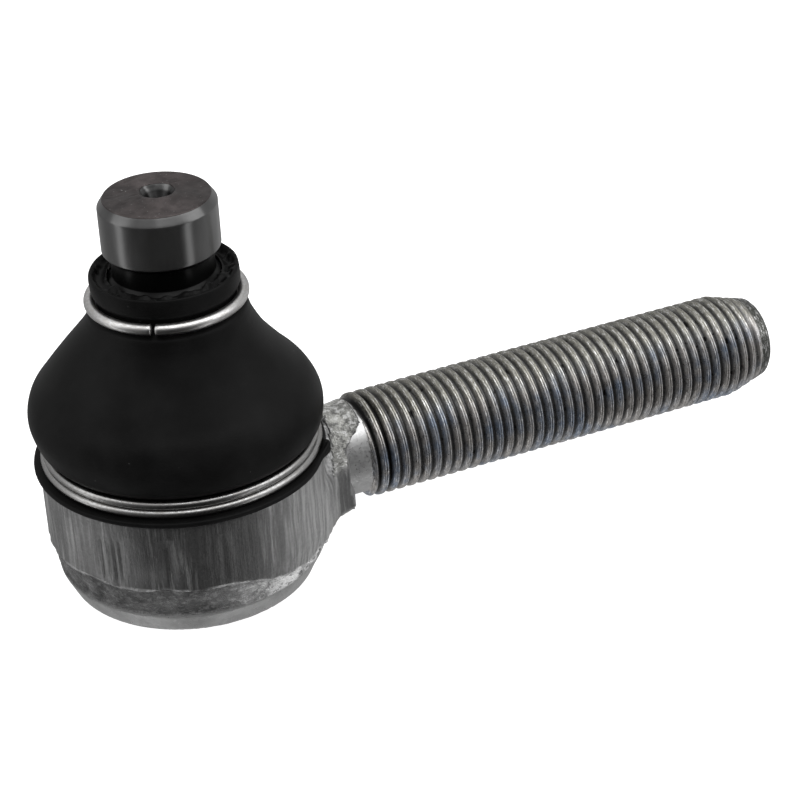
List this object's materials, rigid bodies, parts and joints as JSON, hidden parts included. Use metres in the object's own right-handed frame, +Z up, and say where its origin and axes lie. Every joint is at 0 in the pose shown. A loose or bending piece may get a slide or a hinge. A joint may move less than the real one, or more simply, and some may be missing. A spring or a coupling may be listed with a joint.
{
  "type": "tie rod end",
  "caption": "Greased ball joint in a forged housing with a male threaded shank, rubber dust boot and a plain clamp pin stud.",
  "frame": {"origin": "centre of the ball, on the stud axis", "axes": "+Z up along the stud from the ball to the pin; +X out along the threaded shank, whose axis lies 5.0 mm below the ball centre"},
  "size_m": [0.1024, 0.0372, 0.0521],
  "materials": {
    "forged_steel": "forged and trimmed steel, oiled",
    "ground_steel": "ground",
    "pressed_steel": "bright pressed",
    "spring_steel": "hardened",
    "ring_wire": "bright drawn wire",
    "bearing_plastic": "moulded acetal",
    "boot_rubber": "satin moulded rubber"
  },
  "bodies": {
    "housing": {"housing": "forged_steel", "upper_bearing_shell": "bearing_plastic", "lower_bearing_shell": "bearing_plastic", "pressure_cup": "pressed_steel", "preload_spring": "spring_steel", "closing_plate": "pressed_steel"},
    "boot": {"dust_boot": "boot_rubber", "lower_clamp_ring": "ring_wire"},
    "boot_top": {"upper_clamp_ring": "ring_wire"},
    "stud": {"ball_stud": "ground_steel"}
  },
  "joints": [
    {"name": "tilt_direction", "type": "hinge", "parent": "housing", "child": "boot", "pos_m": [0, 0, 0], "axis": [0, 0, 1], "continuous": true},
    {"name": "stud_tilt", "type": "hinge", "parent": "boot", "child": "boot_top", "pos_m": [0, 0, 0], "axis": [0, 1, 0], "range_deg": [-24, 24], "deforming": ["dust_boot"]},
    {"name": "stud_spin", "type": "hinge", "parent": "boot_top", "child": "stud", "pos_m": [0, 0, 0], "axis": [0, 0, 1], "continuous": true}
  ]
}
